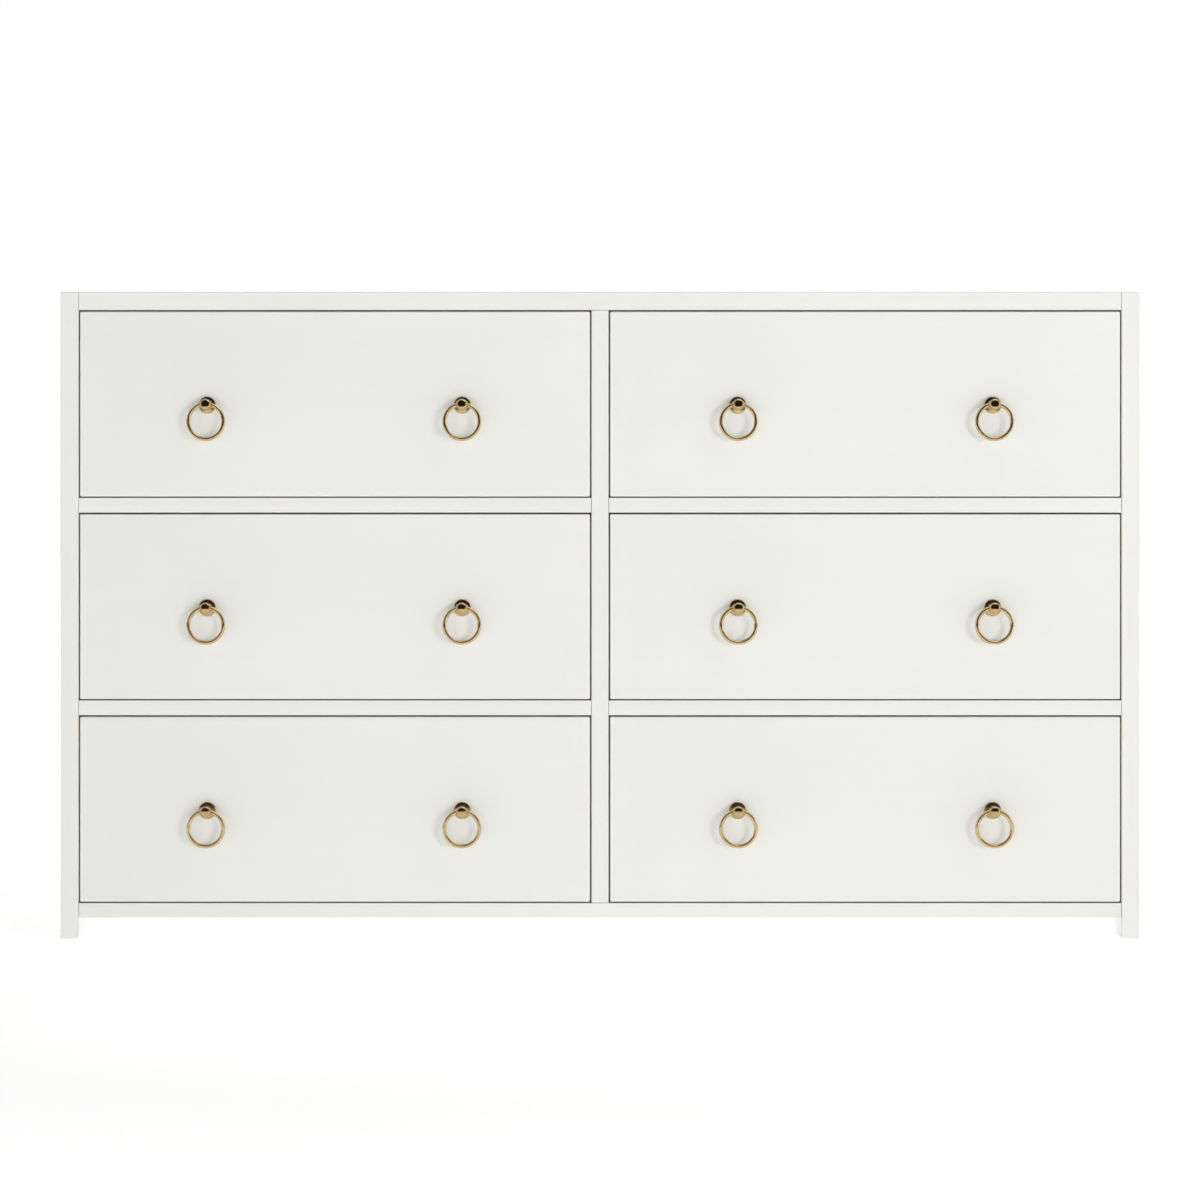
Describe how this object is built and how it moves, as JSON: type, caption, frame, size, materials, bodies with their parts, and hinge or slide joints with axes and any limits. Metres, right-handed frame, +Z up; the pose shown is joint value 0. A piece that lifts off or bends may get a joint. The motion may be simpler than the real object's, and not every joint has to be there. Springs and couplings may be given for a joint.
{
  "type": "dresser with drawers",
  "caption": "Wide painted dresser on side-panel feet with inset drawers in two columns, wooden centre guides and swinging brass ring pulls.",
  "frame": {"origin": "on the floor, at the bottom centre of the whole object's box, pulls included", "axes": "+Z up, -Y out of the drawer fronts, +X to the right seen from the front"},
  "size_m": [1.524, 0.483, 0.914],
  "materials": {
    "white_paint": "satin white lacquer over wood",
    "drawer_wood": "clear-coated solid wood",
    "plywood": "thin clear-coated plywood",
    "frame_wood": "waxed hardwood runner",
    "antique_brass": "polished antique brass"
  },
  "bodies": {
    "carcass": {"side_panel_left": "white_paint", "side_panel_right": "white_paint", "top_panel": "white_paint", "bottom_panel": "white_paint", "center_divider": "white_paint", "back_panel": "plywood", "web_frame_lower_left": "white_paint", "web_frame_lower_right": "white_paint", "web_frame_upper_left": "white_paint", "web_frame_upper_right": "white_paint", "drawer_guide_bottom_left": "frame_wood", "drawer_guide_bottom_right": "frame_wood", "drawer_guide_middle_left": "frame_wood", "drawer_guide_middle_right": "frame_wood", "drawer_guide_top_left": "frame_wood", "drawer_guide_top_right": "frame_wood"},
    "drawer_bottom_left": {"drawer_front_bottom_left": "white_paint", "drawer_box_bottom_left": "drawer_wood", "drawer_bottom_bottom_left": "plywood", "pull_base_bottom_left_1": "antique_brass", "pull_base_bottom_left_2": "antique_brass"},
    "ring_bottom_left_1": {"pull_ring_bottom_left_1": "antique_brass"},
    "ring_bottom_left_2": {"pull_ring_bottom_left_2": "antique_brass"},
    "drawer_bottom_right": {"drawer_front_bottom_right": "white_paint", "drawer_box_bottom_right": "drawer_wood", "drawer_bottom_bottom_right": "plywood", "pull_base_bottom_right_1": "antique_brass", "pull_base_bottom_right_2": "antique_brass"},
    "ring_bottom_right_1": {"pull_ring_bottom_right_1": "antique_brass"},
    "ring_bottom_right_2": {"pull_ring_bottom_right_2": "antique_brass"},
    "drawer_middle_left": {"drawer_front_middle_left": "white_paint", "drawer_box_middle_left": "drawer_wood", "drawer_bottom_middle_left": "plywood", "pull_base_middle_left_1": "antique_brass", "pull_base_middle_left_2": "antique_brass"},
    "ring_middle_left_1": {"pull_ring_middle_left_1": "antique_brass"},
    "ring_middle_left_2": {"pull_ring_middle_left_2": "antique_brass"},
    "drawer_middle_right": {"drawer_front_middle_right": "white_paint", "drawer_box_middle_right": "drawer_wood", "drawer_bottom_middle_right": "plywood", "pull_base_middle_right_1": "antique_brass", "pull_base_middle_right_2": "antique_brass"},
    "ring_middle_right_1": {"pull_ring_middle_right_1": "antique_brass"},
    "ring_middle_right_2": {"pull_ring_middle_right_2": "antique_brass"},
    "drawer_top_left": {"drawer_front_top_left": "white_paint", "drawer_box_top_left": "drawer_wood", "drawer_bottom_top_left": "plywood", "pull_base_top_left_1": "antique_brass", "pull_base_top_left_2": "antique_brass"},
    "ring_top_left_1": {"pull_ring_top_left_1": "antique_brass"},
    "ring_top_left_2": {"pull_ring_top_left_2": "antique_brass"},
    "drawer_top_right": {"drawer_front_top_right": "white_paint", "drawer_box_top_right": "drawer_wood", "drawer_bottom_top_right": "plywood", "pull_base_top_right_1": "antique_brass", "pull_base_top_right_2": "antique_brass"},
    "ring_top_right_1": {"pull_ring_top_right_1": "antique_brass"},
    "ring_top_right_2": {"pull_ring_top_right_2": "antique_brass"}
  },
  "joints": [
    {"name": "drawer_slide_bottom_left", "type": "slide", "parent": "carcass", "child": "drawer_bottom_left", "axis": [0, -1, 0], "range_m": [0, 0.33]},
    {"name": "ring_hinge_bottom_left_1", "type": "hinge", "parent": "drawer_bottom_left", "child": "ring_bottom_left_1", "pos_m": [-0.5544, -0.23375, 0.1819], "axis": [-1, 0, 0], "range_deg": [-18, 198]},
    {"name": "ring_hinge_bottom_left_2", "type": "hinge", "parent": "drawer_bottom_left", "child": "ring_bottom_left_2", "pos_m": [-0.1944, -0.23375, 0.1819], "axis": [-1, 0, 0], "range_deg": [-18, 198]},
    {"name": "drawer_slide_bottom_right", "type": "slide", "parent": "carcass", "child": "drawer_bottom_right", "axis": [0, -1, 0], "range_m": [0, 0.33]},
    {"name": "ring_hinge_bottom_right_1", "type": "hinge", "parent": "drawer_bottom_right", "child": "ring_bottom_right_1", "pos_m": [0.1944, -0.23375, 0.1819], "axis": [-1, 0, 0], "range_deg": [-18, 198]},
    {"name": "ring_hinge_bottom_right_2", "type": "hinge", "parent": "drawer_bottom_right", "child": "ring_bottom_right_2", "pos_m": [0.5544, -0.23375, 0.1819], "axis": [-1, 0, 0], "range_deg": [-18, 198]},
    {"name": "drawer_slide_middle_left", "type": "slide", "parent": "carcass", "child": "drawer_middle_left", "axis": [0, -1, 0], "range_m": [0, 0.33]},
    {"name": "ring_hinge_middle_left_1", "type": "hinge", "parent": "drawer_middle_left", "child": "ring_middle_left_1", "pos_m": [-0.5544, -0.23375, 0.4681], "axis": [-1, 0, 0], "range_deg": [-18, 198]},
    {"name": "ring_hinge_middle_left_2", "type": "hinge", "parent": "drawer_middle_left", "child": "ring_middle_left_2", "pos_m": [-0.1944, -0.23375, 0.4681], "axis": [-1, 0, 0], "range_deg": [-18, 198]},
    {"name": "drawer_slide_middle_right", "type": "slide", "parent": "carcass", "child": "drawer_middle_right", "axis": [0, -1, 0], "range_m": [0, 0.33]},
    {"name": "ring_hinge_middle_right_1", "type": "hinge", "parent": "drawer_middle_right", "child": "ring_middle_right_1", "pos_m": [0.1944, -0.23375, 0.4681], "axis": [-1, 0, 0], "range_deg": [-18, 198]},
    {"name": "ring_hinge_middle_right_2", "type": "hinge", "parent": "drawer_middle_right", "child": "ring_middle_right_2", "pos_m": [0.5544, -0.23375, 0.4681], "axis": [-1, 0, 0], "range_deg": [-18, 198]},
    {"name": "drawer_slide_top_left", "type": "slide", "parent": "carcass", "child": "drawer_top_left", "axis": [0, -1, 0], "range_m": [0, 0.33]},
    {"name": "ring_hinge_top_left_1", "type": "hinge", "parent": "drawer_top_left", "child": "ring_top_left_1", "pos_m": [-0.5544, -0.23375, 0.7543], "axis": [-1, 0, 0], "range_deg": [-18, 198]},
    {"name": "ring_hinge_top_left_2", "type": "hinge", "parent": "drawer_top_left", "child": "ring_top_left_2", "pos_m": [-0.1944, -0.23375, 0.7543], "axis": [-1, 0, 0], "range_deg": [-18, 198]},
    {"name": "drawer_slide_top_right", "type": "slide", "parent": "carcass", "child": "drawer_top_right", "axis": [0, -1, 0], "range_m": [0, 0.33]},
    {"name": "ring_hinge_top_right_1", "type": "hinge", "parent": "drawer_top_right", "child": "ring_top_right_1", "pos_m": [0.1944, -0.23375, 0.7543], "axis": [-1, 0, 0], "range_deg": [-18, 198]},
    {"name": "ring_hinge_top_right_2", "type": "hinge", "parent": "drawer_top_right", "child": "ring_top_right_2", "pos_m": [0.5544, -0.23375, 0.7543], "axis": [-1, 0, 0], "range_deg": [-18, 198]}
  ]
}
